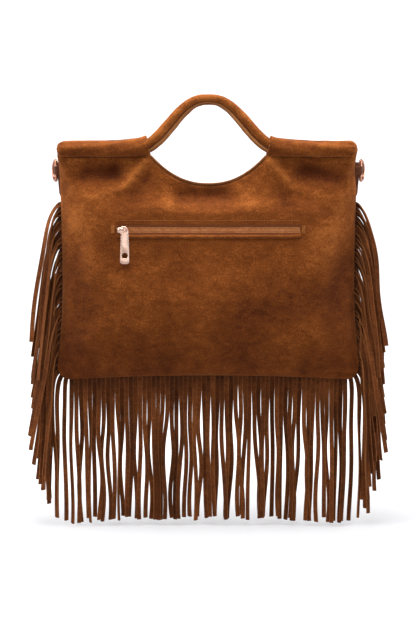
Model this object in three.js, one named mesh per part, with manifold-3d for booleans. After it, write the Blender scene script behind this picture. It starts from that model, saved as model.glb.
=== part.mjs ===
// A soft suede handbag with a carrying handle cut out of each face and a cut fringe
// hanging from its side and bottom seams. A zip pocket is let into one face.
// Millimetres, +Z up, +X to the right when the zip pocket is looked at, +Y away from it.
// The origin is the hang point: midway between the two handles, level with the
// underside of their tops, where a hand or a hook carries the bag.
import * as THREE from 'three';
import { mergeVertices } from 'three/addons/utils/BufferGeometryUtils.js';
import Module from 'manifold-3d';

const wasm = await Module();
wasm.setup();

// ---- Driving dimensions -------------------------------------------------------------
const GAP = 0.3; // clearance kept between pieces that touch on the real bag

// Pouch outline, seen square on
const WAIST_HALF = 159.8; // half width where the sides pull in
const WAIST_Z = -188;
const TOP_FLARE = 3.7; // extra half width at the shoulders
const FOOT_FLARE = 6.2; // extra half width near the bottom corners
const SHOULDER_Z = -55.5; // where the panels meet the handle sleeves
const FOOT_Z = -298; // bottom edge at the middle
const FOOT_DROP = 4.2; // how much lower the bottom edge is near its corners
const CORNER_RADIUS = 13;
const NECK_HALF = 63; // the scooped neckline
const NECK_DEPTH = 31.5;
const NECK_POWER = 2.2;

// Pouch depth, measured from the seam plane to the outside of a panel
const SEAM_DEPTH = 2.5;
const BELLY_DEPTH = 29.5;
const SHOULDER_DEPTH = 15.8;
const NECK_DEPTH_Y = 11;
const SUEDE = 1.6; // thickness of the panels
const HEM = 1.4; // the panel's turned edge doubles it just under each sleeve
const HEM_TALL = 9;
const LINING = 0.7;
const BREAK_Z = -121.5; // below this height the panel's rows are level

// Handles: a rod in a suede cover, its ends in a sleeve folded from each panel
const HANDLE_Y = 15;
const HANDLE_RADIUS = 4.4;
const HANDLE_TOP = 4.3; // the rod's centre line at its highest
const LIP_REACH = 5.2; // the cover's sewn edge below the rod, from the rod's centre line
const LIP_HALF = 1;
const ROD_RADIUS = 3.3;
const ROD_END = 157;
const COVER_END = 74;
const ROD_LEVEL = -47.4; // rod height inside the sleeves
const SLEEVE_RADIUS = 9;
const SLEEVE_WALL = 1.5;
const SLEEVE_Z = -48.8;
const SLEEVE_INNER = 66;
const SLEEVE_OUTER = 165;
const SLEEVE_FLARE = 1.6;
const SLEEVE_SLANT = 2.5; // the upper edge of the mouth lies further out than the lower

// Zip pocket, flat in the middle of the panel
const ZIP_Z = -137.2;
const ZIP_DEPTH = 26; // outside of the panel where the pocket is
const ZIP_FLAT_TOP = -121;
const ZIP_SLOPE_ABOVE = 22; // height over which the panel comes out to the flat part
const ZIP_FLAT_BOTTOM = -166;
const ZIP_SLOPE_BELOW = 50;
const ZIP_FLAT_HALF = 107;
const ZIP_SLOPE_BESIDE = 34;
const WINDOW_HALF = 99.5;
const WINDOW_TOP = -131.6;
const WINDOW_BOTTOM = -146;
const COIL_HALF_GAP = 0.8; // half the slit that the slider's web runs in
const COIL_WIDTH = 2.4;
const TAPE_WIDTH = 13.2;
const TAPE_PAST = 8; // the tapes run on past the ends of the window
const SLIDER_X = -93;
const SLIDER_RADIUS = 4.4; // the round front of its plates
const SLIDER_BACK = 5.2; // their square back end, from its middle
const BRIDGE_HEIGHT = 4.4; // above the panel
const BRIDGE_SPAN = 7.2; // between its two posts
const POST_OFFSET = 3; // the post that carries the puller
const PULLER_LENGTH = 36.5; // from the post to the tip
const PULLER_HALF = 5.4;
const PULLER_EYE = 2.3;
const PULLER_HOLE = 3.1;
const PULLER_HOLE_DOWN = 27.4;

// Fringe
const STRAND_WIDTH = 4.6;
const STRAND_THICKNESS = 1.2;
const STRAND_LENGTH = 160;
const SIDE_TOP = -109; // height of the highest strand's root
const SIDE_PITCH = 4.95;
const SIDE_COUNT = 37;
const CORNER_COUNT = 3;
const BOTTOM_COUNT = 61;
const BOTTOM_HALF = 151;
const LAYERS = 8; // strands that hang in front of each other at the sides
const LAYER_STEP = 1.5;
const TIP_REACH = 34.5; // how far outside the seam the upper strands' tips hang
const TIP_DRAWN_IN = 24; // how much nearer the lowest one's is
const TIP_Z = -458;

// Strap rings
const RING_WIRE = 1.5;
const RING_TALL = 22; // centre line, along the straight bar
const RING_DEEP = 16.5;
const RING_Z = -73;
const RING_OUT = 3.3; // bar centre, out from the side seam
const RING_TURN = 72; // degrees that the ring lies back from pointing straight out

// ---- Helpers ------------------------------------------------------------------------
const mix = (a, b, t) => a + (b - a) * t;
const clamp01 = (t) => Math.min(1, Math.max(0, t));
const smooth = (t) => clamp01(t) ** 2 * (3 - 2 * clamp01(t));

function faceOut(geometry) {
  const points = geometry.attributes.position;
  const { array } = geometry.index;
  const [a, b, c] = [new THREE.Vector3(), new THREE.Vector3(), new THREE.Vector3()];
  let volume = 0;
  for (let face = 0; face < array.length; face += 3) {
    a.fromBufferAttribute(points, array[face]);
    b.fromBufferAttribute(points, array[face + 1]);
    c.fromBufferAttribute(points, array[face + 2]);
    volume += a.dot(b.cross(c));
  }
  if (volume > 0) return geometry;
  for (let face = 0; face < array.length; face += 3) {
    [array[face], array[face + 1]] = [array[face + 1], array[face]];
  }
  return geometry;
}

// Joins rings of points, one after another, into a closed solid. A ring is crossed by
// rungs, first point to last, second to last but one, so thin bent sections close well,
// and both faces of such a section are split along the same diagonals.
function loft(rings, joined = false) {
  const count = rings[0].length;
  const index = [];
  const spans = joined ? rings.length : rings.length - 1;
  for (let ring = 0; ring < spans; ring += 1) {
    const here = ring * count;
    const next = ((ring + 1) % rings.length) * count;
    for (let corner = 0; corner < count; corner += 1) {
      const after = (corner + 1) % count;
      const returning = corner >= count / 2;
      const [from, to] = returning ? [here + after, next + corner] : [here + corner, next + after];
      index.push(here + corner, here + after, to);
      index.push(from, next + after, next + corner);
    }
  }
  const end = (rings.length - 1) * count;
  for (let rung = 0; !joined && rung < count / 2 - 1; rung += 1) {
    const [a, b, c, d] = [rung, rung + 1, count - 2 - rung, count - 1 - rung];
    index.push(a, c, b, a, d, c);
    index.push(end + a, end + b, end + c, end + a, end + c, end + d);
  }
  const geometry = new THREE.BufferGeometry();
  geometry.setAttribute('position', new THREE.Float32BufferAttribute(rings.flat(2), 3));
  geometry.setIndex(new THREE.BufferAttribute(new Uint32Array(index), 1));
  return faceOut(geometry);
}

function toSolid(geometry) {
  const bare = geometry.clone();
  bare.deleteAttribute('normal');
  bare.deleteAttribute('uv');
  const merged = mergeVertices(bare, 1e-4);
  return new wasm.Manifold(new wasm.Mesh({
    numProp: 3,
    vertProperties: new Float32Array(merged.attributes.position.array),
    triVerts: new Uint32Array(merged.index.array),
  }));
}

function toGeometry(solid) {
  const mesh = solid.getMesh();
  const geometry = new THREE.BufferGeometry();
  geometry.setAttribute('position', new THREE.Float32BufferAttribute(mesh.vertProperties, 3));
  geometry.setIndex(new THREE.BufferAttribute(new Uint32Array(mesh.triVerts), 1));
  return geometry;
}

const join = (...pieces) => toGeometry(pieces.map(toSolid).reduce((all, next) => all.add(next)));
const cut = (piece, ...tools) => toGeometry(
  tools.map(toSolid).reduce((left, tool) => left.subtract(tool), toSolid(piece)),
);

function box(x, y, z) {
  const geometry = new THREE.BoxGeometry(x[1] - x[0], y[1] - y[0], z[1] - z[0]);
  return geometry.translate((x[0] + x[1]) / 2, (y[0] + y[1]) / 2, (z[0] + z[1]) / 2);
}

// A bar of one section along a route. Section points are [sideways, along `across`].
function bar(route, section, across, joined = false) {
  const rings = route.map((point, step) => {
    const before = route[joined ? (step + route.length - 1) % route.length : Math.max(step - 1, 0)];
    const after = route[joined ? (step + 1) % route.length : Math.min(step + 1, route.length - 1)];
    const along = after.clone().sub(before).normalize();
    const sideways = across.clone().cross(along).normalize();
    return section.map(([side, deep]) => point.clone()
      .addScaledVector(sideways, side).addScaledVector(across, deep).toArray());
  });
  return loft(rings, joined);
}

function circle(radius, sides) {
  return Array.from({ length: sides }, (_, corner) => {
    const angle = ((corner + 0.5) / sides) * Math.PI * 2;
    return [radius * Math.cos(angle), radius * Math.sin(angle)];
  });
}

const ALONG_Y = new THREE.Vector3(0, 1, 0);
const flat = (width, thickness) => [
  [-width / 2, -thickness / 2], [width / 2, -thickness / 2],
  [width / 2, thickness / 2], [-width / 2, thickness / 2],
];

// ---- Pouch shape --------------------------------------------------------------------
function halfWidth(z) {
  if (z > WAIST_Z) return WAIST_HALF + TOP_FLARE * ((z - WAIST_Z) / (SHOULDER_Z - WAIST_Z)) ** 2;
  return WAIST_HALF + FOOT_FLARE * Math.min(1, ((WAIST_Z - z) / (WAIST_Z + 285)) ** 2);
}

function bottomEdge(x) {
  const side = halfWidth(FOOT_Z);
  const dropped = FOOT_Z - FOOT_DROP * Math.min(1, Math.abs(x) / 150) ** 2;
  const into = Math.max(0, Math.abs(x) - (side - CORNER_RADIUS)) / CORNER_RADIUS;
  return dropped + CORNER_RADIUS * (1 - Math.sqrt(Math.max(0, 1 - into * into)));
}

function topEdge(x) {
  const across = Math.min(1, Math.abs(x) / NECK_HALF);
  return SHOULDER_Z - NECK_DEPTH * (1 - across ** NECK_POWER);
}

// Distance from the seam plane to the outside of a panel
function outerDepth(x, z) {
  const across = clamp01(Math.abs(x) / halfWidth(z));
  const low = bottomEdge(x);
  const up = clamp01((z - low) / (topEdge(x) - low));
  const crown = (1 - across ** 5) ** 0.7;
  const rise = (1 - (1 - Math.min(1, up / 0.5)) ** 3) ** 0.75;
  const belly = SEAM_DEPTH + (BELLY_DEPTH - SEAM_DEPTH) * crown * rise;
  const neck = Math.min(1, Math.abs(x) / NECK_HALF) ** 1.5;
  const top = mix(NECK_DEPTH_Y, SHOULDER_DEPTH, neck);
  const start = mix(0.55, 0.93, across ** 4);
  const draped = mix(belly, top, smooth((up - start) / (1 - start)));
  const beside = smooth((ZIP_FLAT_HALF - Math.abs(x)) / ZIP_SLOPE_BESIDE + 1);
  const above = smooth((ZIP_FLAT_TOP - z) / ZIP_SLOPE_ABOVE + 1);
  const below = smooth((z - ZIP_FLAT_BOTTOM) / ZIP_SLOPE_BELOW + 1);
  return mix(draped, ZIP_DEPTH, beside * above * below);
}

// A point of a panel from its place across (-1 to 1), up (0 to 1) and its depth inwards
function panelPoint(side, across, up, inward) {
  const guess = across * WAIST_HALF;
  const height = (x) => (up < 0.8
    ? mix(bottomEdge(x), BREAK_Z, up / 0.8)
    : mix(BREAK_Z, topEdge(x), (up - 0.8) / 0.2));
  const x = across * halfWidth(height(guess));
  const z = height(x);
  return [x, side * (outerDepth(x, z) - inward(x, z)), z];
}

const mirrored = (half) => [...half.slice(1).map((value) => -value).reverse(), ...half];
const ACROSS = mirrored([0, 0.1, 0.2, 0.3, 0.395, 0.42, 0.54, 0.672, 0.8, 0.9, 0.965, 1]);
const UP = [0, 0.03, 0.1, 0.2, 0.33, 0.45, 0.57, 0.805, 0.87, 0.93, 0.97, 1];
const LINING_ACROSS = ACROSS.slice(1, -1);
const LINING_UP = UP.slice(1, -2);

function sheet(side, acrossSteps, upSteps, outside, inside) {
  return loft(acrossSteps.map((across) => [
    ...upSteps.map((up) => panelPoint(side, across, up, outside)),
    ...[...upSteps].reverse().map((up) => panelPoint(side, across, up, inside)),
  ]));
}

function panelThickness(x, z) {
  const hemmed = Math.abs(x) > SLEEVE_INNER - 2 && z > SHOULDER_Z - HEM_TALL;
  return hemmed ? SUEDE + HEM : SUEDE;
}

// The sleeve is a roll of the panel's own suede, flared where the handle goes in and
// closed and rounded at its outer end.
function sleeve(side, end) {
  const ring = (x, radius, slant = 0) => circle(radius, 12).map(([up, out]) => [
    end * (x + slant * (up / radius)), side * HANDLE_Y + out, SLEEVE_Z + slant * 0.6 + up,
  ]);
  const outside = loft([
    ring(SLEEVE_INNER, SLEEVE_RADIUS + SLEEVE_FLARE, SLEEVE_SLANT),
    ring(SLEEVE_INNER + 16, SLEEVE_RADIUS),
    ring(SLEEVE_OUTER - 4, SLEEVE_RADIUS - 0.3), ring(SLEEVE_OUTER - 1, SLEEVE_RADIUS - 2.4),
    ring(SLEEVE_OUTER, SLEEVE_RADIUS - 6),
  ]);
  const bore = SLEEVE_RADIUS - SLEEVE_WALL;
  const inside = loft([
    ring(SLEEVE_INNER - 8, bore + SLEEVE_FLARE * 1.5, SLEEVE_SLANT * 1.5),
    ring(SLEEVE_INNER + 16, bore),
    ring(SLEEVE_OUTER - 7, bore), ring(SLEEVE_OUTER - 3, bore - 3),
  ]);
  return { outside, inside };
}

function panel(side) {
  const skin = sheet(side, ACROSS, UP, () => 0, panelThickness);
  const sleeves = [sleeve(side, -1), sleeve(side, 1)];
  return cut(join(skin, ...sleeves.map((roll) => roll.outside)), ...sleeves.map((roll) => roll.inside));
}

// Clear of the panel by a gap at its edges and by the pocket's room in the middle
function liningOffset(x, z) {
  const overPocket = smooth((140 - Math.abs(x)) / 40) * smooth((z + 285) / 30) * smooth((-92 - z) / 20);
  return mix(SUEDE + GAP, 7.4, overPocket);
}

const lining = (side) => sheet(side, LINING_ACROSS, LINING_UP, liningOffset,
  (x, z) => liningOffset(x, z) + LINING);

// ---- Handles ------------------------------------------------------------------------
// Half of the rod's centre line, from beside its top to where its cover ends
const BELL = [[13.1, 2.5], [25.7, -4.8], [38.9, -18], [52.1, -33], [64.5, -43.8], [COVER_END, ROD_LEVEL]];
const HANDLE_STEPS = 20;

function handleRoute(side) {
  const half = BELL.map(([x, z]) => new THREE.Vector3(x, side * HANDLE_Y, z));
  const other = half.map((point) => new THREE.Vector3(-point.x, point.y, point.z)).reverse();
  const top = new THREE.Vector3(0, side * HANDLE_Y, HANDLE_TOP);
  const line = new THREE.CatmullRomCurve3([...other, top, ...half], false, 'centripetal');
  return line.getPoints(HANDLE_STEPS);
}

function handleRod(side) {
  const end = (x) => new THREE.Vector3(x, side * HANDLE_Y, ROD_LEVEL);
  return bar([end(-ROD_END), ...handleRoute(side), end(ROD_END)], circle(ROD_RADIUS, 8), ALONG_Y);
}

// The cover's edges are sewn together below the rod, where they make a lip.
function coverSection() {
  const roll = [75, 105, 135, 165, 195, 225, 255, 285].map((degrees) => {
    const angle = THREE.MathUtils.degToRad(degrees);
    return [HANDLE_RADIUS * Math.cos(angle), HANDLE_RADIUS * Math.sin(angle)];
  });
  return [[LIP_REACH, LIP_HALF], ...roll, [LIP_REACH, -LIP_HALF]];
}

function handleCover(side) {
  const bore = handleRoute(side);
  bore.unshift(bore[0].clone().setX(-COVER_END - 5));
  bore.push(bore[bore.length - 1].clone().setX(COVER_END + 5));
  const skin = bar(handleRoute(side), coverSection(), ALONG_Y);
  return cut(skin, bar(bore, circle(ROD_RADIUS + GAP, 8), ALONG_Y));
}

// ---- Zip pocket ---------------------------------------------------------------------
// Depth is measured inwards from the outside of the zip face, as in the panel.
const zipY = (inward) => -ZIP_DEPTH + inward;
const zipBox = (x, inward, z) => box(x, [zipY(inward[0]), zipY(inward[1])], z);

function backPanel() {
  const window = zipBox([-WINDOW_HALF, WINDOW_HALF], [-5, 6], [WINDOW_BOTTOM, WINDOW_TOP]);
  return cut(panel(-1), window);
}

const TAPE = [SUEDE + GAP, SUEDE + GAP + 0.7]; // depths of its two faces
const TAPE_HALF = WINDOW_HALF + TAPE_PAST;
const ordered = (a, b) => [Math.min(a, b), Math.max(a, b)];
const zipTape = (up) => {
  const near = ZIP_Z + up * (COIL_HALF_GAP + 0.5);
  return zipBox([-TAPE_HALF, TAPE_HALF], TAPE, ordered(near, near + up * TAPE_WIDTH));
};
const zipCoil = (up) => {
  const near = ZIP_Z + up * COIL_HALF_GAP;
  const end = WINDOW_HALF - 0.5;
  return zipBox([-end, end], [0.5, TAPE[0] - GAP], ordered(near, near + up * COIL_WIDTH));
};

// The pocket's mouth edge is a rolled strip of suede along the bottom of the window.
function pocketWelt() {
  const section = [[-0.5, 0.2], [-0.9, 0.9], [-0.9, 2.4], [-0.5, 3.1], [1.6, 3.1], [1.6, 0.2]];
  const low = WINDOW_BOTTOM + GAP;
  const ring = (x) => section.map(([inward, up]) => [x, zipY(inward), low + up - 0.2]);
  return loft([ring(-WINDOW_HALF + GAP), ring(WINDOW_HALF - GAP)]);
}

const barTack = (x) => zipBox([x - 2.5, x + 2.5], [-0.8, -GAP], [-140.6, -132.2]);

// The pocket bag is one cloth, folded at its bottom, that hangs behind the zip between
// the panel and the lining. Its near leaf meets the lower tape and its far leaf the upper.
const POCKET_TOP = -124;
const POCKET_MOUTH = -152.5;
const POCKET_FOOT = -240;
const POCKET_LEAVES = [2.9, 3.5, 5.8, 6.4]; // depths of its four faces

function pocketBag() {
  const half = TAPE_HALF - 12;
  const levels = (low, high) => Array.from({ length: 6 }, (_, step) => mix(low, high, step / 5));
  const spot = (x, z, inward) => [x, inward - outerDepth(x, z), z];
  const [nearFace, nearBack, farFace, farBack] = POCKET_LEAVES;
  const inFoot = POCKET_FOOT + 1;
  return loft([-1, -0.6, -0.2, 0.2, 0.6, 1].map((part) => {
    const x = part * half;
    return [
      ...levels(POCKET_TOP, POCKET_FOOT).map((z) => spot(x, z, farBack)),
      ...levels(POCKET_FOOT, POCKET_MOUTH).map((z) => spot(x, z, nearFace)),
      ...levels(POCKET_MOUTH, inFoot).map((z) => spot(x, z, nearBack)),
      ...levels(inFoot, POCKET_TOP).map((z) => spot(x, z, farFace)),
    ];
  }));
}

function slider() {
  const plate = (inward) => {
    const outline = new THREE.Shape();
    outline.moveTo(-SLIDER_BACK, -2.6);
    outline.absarc(1, 0, SLIDER_RADIUS, -Math.PI / 2, Math.PI / 2, false);
    outline.lineTo(-SLIDER_BACK, 2.6);
    const solid = new THREE.ExtrudeGeometry(outline, {
      depth: inward[1] - inward[0], bevelEnabled: false, curveSegments: 10,
    });
    return solid.rotateX(Math.PI / 2).translate(SLIDER_X, zipY(inward[1]), ZIP_Z);
  };
  const face = plate([-1.1, 0.1]);
  const backFrom = TAPE[1] + GAP;
  const back = plate([backFrom, backFrom + 1]);
  const web = zipBox([SLIDER_X - 2.5, SLIDER_X + 2], [0, backFrom + 0.1], [ZIP_Z - 0.5, ZIP_Z + 0.5]);
  const post = (x) => zipBox([x - 0.8, x + 0.8], [0.1 - BRIDGE_HEIGHT, -1], [ZIP_Z - 0.9, ZIP_Z + 0.9]);
  const near = SLIDER_X + POST_OFFSET;
  const far = near - BRIDGE_SPAN;
  const bridge = zipBox([far - 0.8, near + 0.8], [-BRIDGE_HEIGHT, -3.1], [ZIP_Z - 1.3, ZIP_Z + 1.3]);
  return join(face, back, web, post(near), post(far), bridge);
}

// A flat tab with an eye round the bridge post at its top and a round hole near its end
function puller() {
  const outline = new THREE.Shape();
  outline.absarc(0, 0, 4, Math.PI * 0.12, Math.PI * 0.88, false);
  outline.lineTo(-PULLER_HALF, -9);
  outline.absarc(0, PULLER_HALF - PULLER_LENGTH, PULLER_HALF, Math.PI, Math.PI * 2, false);
  outline.lineTo(PULLER_HALF, -9);
  const hole = (z, radius) => new THREE.Path().absarc(0, z, radius, 0, Math.PI * 2, true);
  outline.holes.push(hole(0, PULLER_EYE), hole(-PULLER_HOLE_DOWN, PULLER_HOLE));
  const solid = new THREE.ExtrudeGeometry(outline, {
    depth: 1.2, bevelEnabled: false, curveSegments: 8,
  });
  return solid.rotateX(Math.PI / 2).translate(SLIDER_X + POST_OFFSET, zipY(-1.5), ZIP_Z);
}

// ---- Fringe -------------------------------------------------------------------------
const strandSection = flat(STRAND_WIDTH, STRAND_THICKNESS);
const point = (x, y, z) => new THREE.Vector3(x, y, z);

// The strands hang further out where more of them lie underneath.
function sideStrand(end, order) {
  const z = SIDE_TOP - order * SIDE_PITCH;
  const side = halfWidth(z);
  const deep = ((order % LAYERS) - (LAYERS - 1) / 2) * LAYER_STEP;
  const halfCount = (SIDE_COUNT - 1) / 2;
  const tip = TIP_REACH - TIP_DRAWN_IN * Math.max(0, order / halfCount - 1) ** 1.5;
  const bulge = Math.min(12, tip * 0.6 + 3);
  const fall = STRAND_LENGTH - 12;
  return bar([
    point(end * (side - 3), 0, z),
    point(end * (side + 2.2), 0, z - 0.4),
    point(end * (side + Math.max(6, bulge * 0.8)), deep, z - 6),
    point(end * (side + mix(bulge, tip, 0.4)), deep, z - 45),
    point(end * (side + tip), deep, z - fall),
  ], strandSection, ALONG_Y);
}

function cornerStrand(end, order) {
  const turn = ((order + 1) / (CORNER_COUNT + 1)) * (Math.PI / 2);
  const side = halfWidth(FOOT_Z);
  const centre = [side - CORNER_RADIUS, FOOT_Z - FOOT_DROP + CORNER_RADIUS];
  const at = (reach) => [centre[0] + reach * Math.cos(turn), centre[1] - reach * Math.sin(turn)];
  const [start, edge, out] = [at(CORNER_RADIUS - 3), at(CORNER_RADIUS + 2.5), at(CORNER_RADIUS + 8)];
  const deep = (order - 1) * 2.2;
  const x = side - 1 - order * 2.4;
  return bar([
    point(end * start[0], 0, start[1]), point(end * edge[0], 0, edge[1]),
    point(end * mix(out[0], x, 0.3), deep, out[1]), point(end * x, deep, out[1] - 22),
    point(end * x, deep, TIP_Z + 4 * order),
  ], strandSection, ALONG_Y);
}

function sideFringe(end) {
  const levels = [SIDE_TOP + 2.4, -150, WAIST_Z, -230, -262, -285];
  const edge = levels.map((z) => point(end * (halfWidth(z) - 2.8), 0, z));
  const side = halfWidth(FOOT_Z);
  const corner = [15, 45, 75].map((degrees) => {
    const turn = THREE.MathUtils.degToRad(degrees);
    const reach = CORNER_RADIUS - 2.8;
    return point(end * (side - CORNER_RADIUS + reach * Math.cos(turn)), 0,
      FOOT_Z - FOOT_DROP + CORNER_RADIUS - reach * Math.sin(turn));
  });
  const band = bar([...edge, ...corner], flat(6, STRAND_THICKNESS), ALONG_Y);
  const strands = Array.from({ length: SIDE_COUNT }, (_, order) => sideStrand(end, order));
  const turned = Array.from({ length: CORNER_COUNT }, (_, order) => cornerStrand(end, order));
  return join(band, ...strands, ...turned);
}

function bottomFringe() {
  const reach = BOTTOM_HALF + 2.3;
  const stops = [-reach, -100, -50, 0, 50, 100, reach];
  const band = bar(stops.map((x) => point(x, 0, bottomEdge(x) + 2.8)), flat(6, STRAND_THICKNESS), ALONG_Y);
  const strands = Array.from({ length: BOTTOM_COUNT }, (_, order) => {
    const x = mix(-BOTTOM_HALF, BOTTOM_HALF, order / (BOTTOM_COUNT - 1));
    const deep = order % 2 ? 0.9 : -0.9;
    return bar([point(x, 0, bottomEdge(x) + 3), point(x, deep, bottomEdge(x) - 20),
      point(x, deep, TIP_Z + 3 * Math.sin(order * 1.7))], strandSection, ALONG_Y);
  });
  return join(band, ...strands);
}

// ---- Strap rings and closure --------------------------------------------------------
const barX = halfWidth(RING_Z) + RING_OUT;

function strapRing(end) {
  const turn = THREE.MathUtils.degToRad(RING_TURN);
  const place = (out, z) => point(end * (barX + out * Math.cos(turn)), out * Math.sin(turn), RING_Z + z);
  const half = RING_TALL / 2;
  const bend = Array.from({ length: 9 }, (_, step) => {
    const angle = mix(Math.PI / 2, -Math.PI / 2, step / 8);
    return place(5 + (RING_DEEP - 5) * Math.cos(angle), half * Math.sin(angle));
  });
  const lowCorner = [place(0.6, -half + 0.2), place(0, -half + 2)];
  const highCorner = [place(0, half - 2), place(0.6, half - 0.2)];
  const route = [...bend, ...lowCorner, ...highCorner];
  return bar(route, circle(RING_WIRE, 8), point(end * -Math.sin(turn), Math.cos(turn), 0), true);
}

// A strap folded round the ring's bar, on a leaf that is sewn into the side seam
function ringTab(end) {
  const side = halfWidth(RING_Z);
  const leaf = new THREE.Shape();
  leaf.moveTo(side - 6, -64);
  leaf.lineTo(side + 1.6, -64);
  leaf.lineTo(side + 1.6, -92);
  leaf.lineTo(side - 1.2, -101);
  leaf.lineTo(side - 6, -101);
  const sewn = new THREE.ExtrudeGeometry(leaf, { depth: 1.2, bevelEnabled: false });
  sewn.rotateX(Math.PI / 2).translate(0, 0.6, 0);
  const loop = new THREE.CylinderGeometry(3.6, 3.6, 11, 14).rotateX(Math.PI / 2).translate(barX, 0, RING_Z);
  const bore = new THREE.CylinderGeometry(2.1, 2.1, 13, 12).rotateX(Math.PI / 2).translate(barX, 0, RING_Z);
  const tab = cut(join(sewn, loop), bore);
  return end > 0 ? tab : faceOut(tab.scale(-1, 1, 1));
}

// Two halves of a magnetic snap face each other between the linings.
const SNAP_Z = -105;
const SNAP_RADIUS = 7;
const BOSS_RADIUS = 2.6;

function snapHalf(side) {
  const disc = new THREE.CylinderGeometry(SNAP_RADIUS, SNAP_RADIUS, 2, 20);
  disc.translate(0, side * 1.9, SNAP_Z);
  if (side < 0) {
    const boss = new THREE.CylinderGeometry(BOSS_RADIUS, BOSS_RADIUS, 1.4, 12);
    return join(disc, boss.translate(0, -0.3, SNAP_Z));
  }
  const dimple = new THREE.CylinderGeometry(BOSS_RADIUS + GAP, BOSS_RADIUS + GAP, 2, 12);
  return cut(disc, dimple.translate(0, 0.5, SNAP_Z));
}

// ---- The bag ------------------------------------------------------------------------
const FINISHES = {
  suede: { color: 0x7a4420, roughness: 0.95, metalness: 0 },
  leather: { color: 0x3a2015, roughness: 0.7, metalness: 0 },
  rod: { color: 0x2a2a2a, roughness: 0.6, metalness: 0 },
  cloth: { color: 0x6b4a34, roughness: 0.9, metalness: 0 },
  tape: { color: 0xb07048, roughness: 0.85, metalness: 0 },
  nylon: { color: 0xb07a55, roughness: 0.5, metalness: 0 },
  thread: { color: 0xb5762f, roughness: 0.7, metalness: 0 },
  metal: { color: 0xe0a98c, roughness: 0.25, metalness: 1 },
  steel: { color: 0xb8b4ae, roughness: 0.3, metalness: 1 },
};

const bag = new THREE.Group();
function add(name, geometry, finish) {
  const mesh = new THREE.Mesh(geometry, new THREE.MeshStandardMaterial(FINISHES[finish]));
  mesh.name = name;
  bag.add(mesh);
}

add('back_panel', backPanel(), 'suede');
add('front_panel', panel(1), 'suede');
add('back_lining', lining(-1), 'cloth');
add('front_lining', lining(1), 'cloth');
for (const [name, side] of [['back', -1], ['front', 1]]) {
  add(`${name}_handle_rod`, handleRod(side), 'rod');
  add(`${name}_handle_cover`, handleCover(side), 'suede');
}
add('upper_zip_tape', zipTape(1), 'tape');
add('lower_zip_tape', zipTape(-1), 'tape');
add('upper_zip_coil', zipCoil(1), 'nylon');
add('lower_zip_coil', zipCoil(-1), 'nylon');
add('pocket_welt', pocketWelt(), 'suede');
add('pocket_bag', pocketBag(), 'cloth');
add('left_bar_tack', barTack(-102.8), 'thread');
add('right_bar_tack', barTack(102.8), 'thread');
add('zip_slider', slider(), 'metal');
add('zip_puller', puller(), 'metal');
for (const [name, end] of [['left', -1], ['right', 1]]) {
  add(`${name}_fringe`, sideFringe(end), 'suede');
  add(`${name}_ring_tab`, ringTab(end), 'leather');
  add(`${name}_strap_ring`, strapRing(end), 'metal');
}
add('bottom_fringe', bottomFringe(), 'suede');
add('snap_stud', snapHalf(-1), 'steel');
add('snap_socket', snapHalf(1), 'steel');

export default bag;
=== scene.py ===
# %% [markdown]
# A fringed suede handbag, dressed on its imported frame. The frame brings every piece at
# its real place and size, in metres, +Z up, with the zip pocket facing -Y. The soft
# pieces are modelled again here, because the frame holds them as plain solids.

import math

import bpy
import numpy as np
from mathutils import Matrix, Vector


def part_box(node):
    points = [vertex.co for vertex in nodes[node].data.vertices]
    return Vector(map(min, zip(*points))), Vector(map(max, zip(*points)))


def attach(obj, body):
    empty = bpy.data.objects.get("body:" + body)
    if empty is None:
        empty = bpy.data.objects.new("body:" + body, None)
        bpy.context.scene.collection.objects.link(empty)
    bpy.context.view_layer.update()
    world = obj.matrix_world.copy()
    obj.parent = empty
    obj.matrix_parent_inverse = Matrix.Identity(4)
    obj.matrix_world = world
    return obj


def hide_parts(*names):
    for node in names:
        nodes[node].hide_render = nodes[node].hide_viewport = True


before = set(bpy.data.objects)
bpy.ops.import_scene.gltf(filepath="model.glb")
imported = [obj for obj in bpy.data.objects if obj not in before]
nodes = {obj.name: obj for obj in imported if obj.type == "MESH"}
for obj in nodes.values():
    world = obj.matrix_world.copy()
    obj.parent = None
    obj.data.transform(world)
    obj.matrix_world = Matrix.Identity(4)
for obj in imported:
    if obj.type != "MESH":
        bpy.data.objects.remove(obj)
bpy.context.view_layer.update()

# %% [markdown]
# The camera stands a little above the middle of the bag and looks slightly down. A wide
# lens close by would bend the straight sleeves, so it stands 1.6 m away. The lens is
# worked out so that the view is 0.685 m tall at the seam plane of the bag.

# %% Camera
VIEW_DISTANCE = 1.6
VIEW_ABOVE = math.radians(5)
VIEW_TALL = 0.6853
VIEW_CENTRE = Vector((-0.0004, 0, -0.2274))
SENSOR = 24.0

camera_data = bpy.data.cameras.new("camera")
camera = bpy.data.objects.new("camera", camera_data)
bpy.context.scene.collection.objects.link(camera)
camera_data.sensor_fit = "VERTICAL"
camera_data.sensor_height = SENSOR
camera_data.lens = VIEW_DISTANCE / VIEW_TALL * SENSOR
back_off = Vector((0, -math.cos(VIEW_ABOVE), math.sin(VIEW_ABOVE))) * VIEW_DISTANCE
camera.location = VIEW_CENTRE + back_off
camera.rotation_euler = (math.pi / 2 - VIEW_ABOVE, 0, 0)
bpy.context.scene.camera = camera
print("lens", round(camera_data.lens, 1), "mm")

# %% [markdown]
# A material is a graph of nodes. It could be drawn by hand in the editor, but code gives
# the same graph each time. `colour` turns a hex value into the linear colour that a
# shader wants, and `node` adds one node of any kind with its settings and links.

# %% Helpers for materials
def colour(hex_value):
    srgb = [int(hex_value[i:i + 2], 16) / 255 for i in (1, 3, 5)]
    return [c / 12.92 if c <= 0.04045 else ((c + 0.055) / 1.055) ** 2.4 for c in srgb] + [1]


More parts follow.
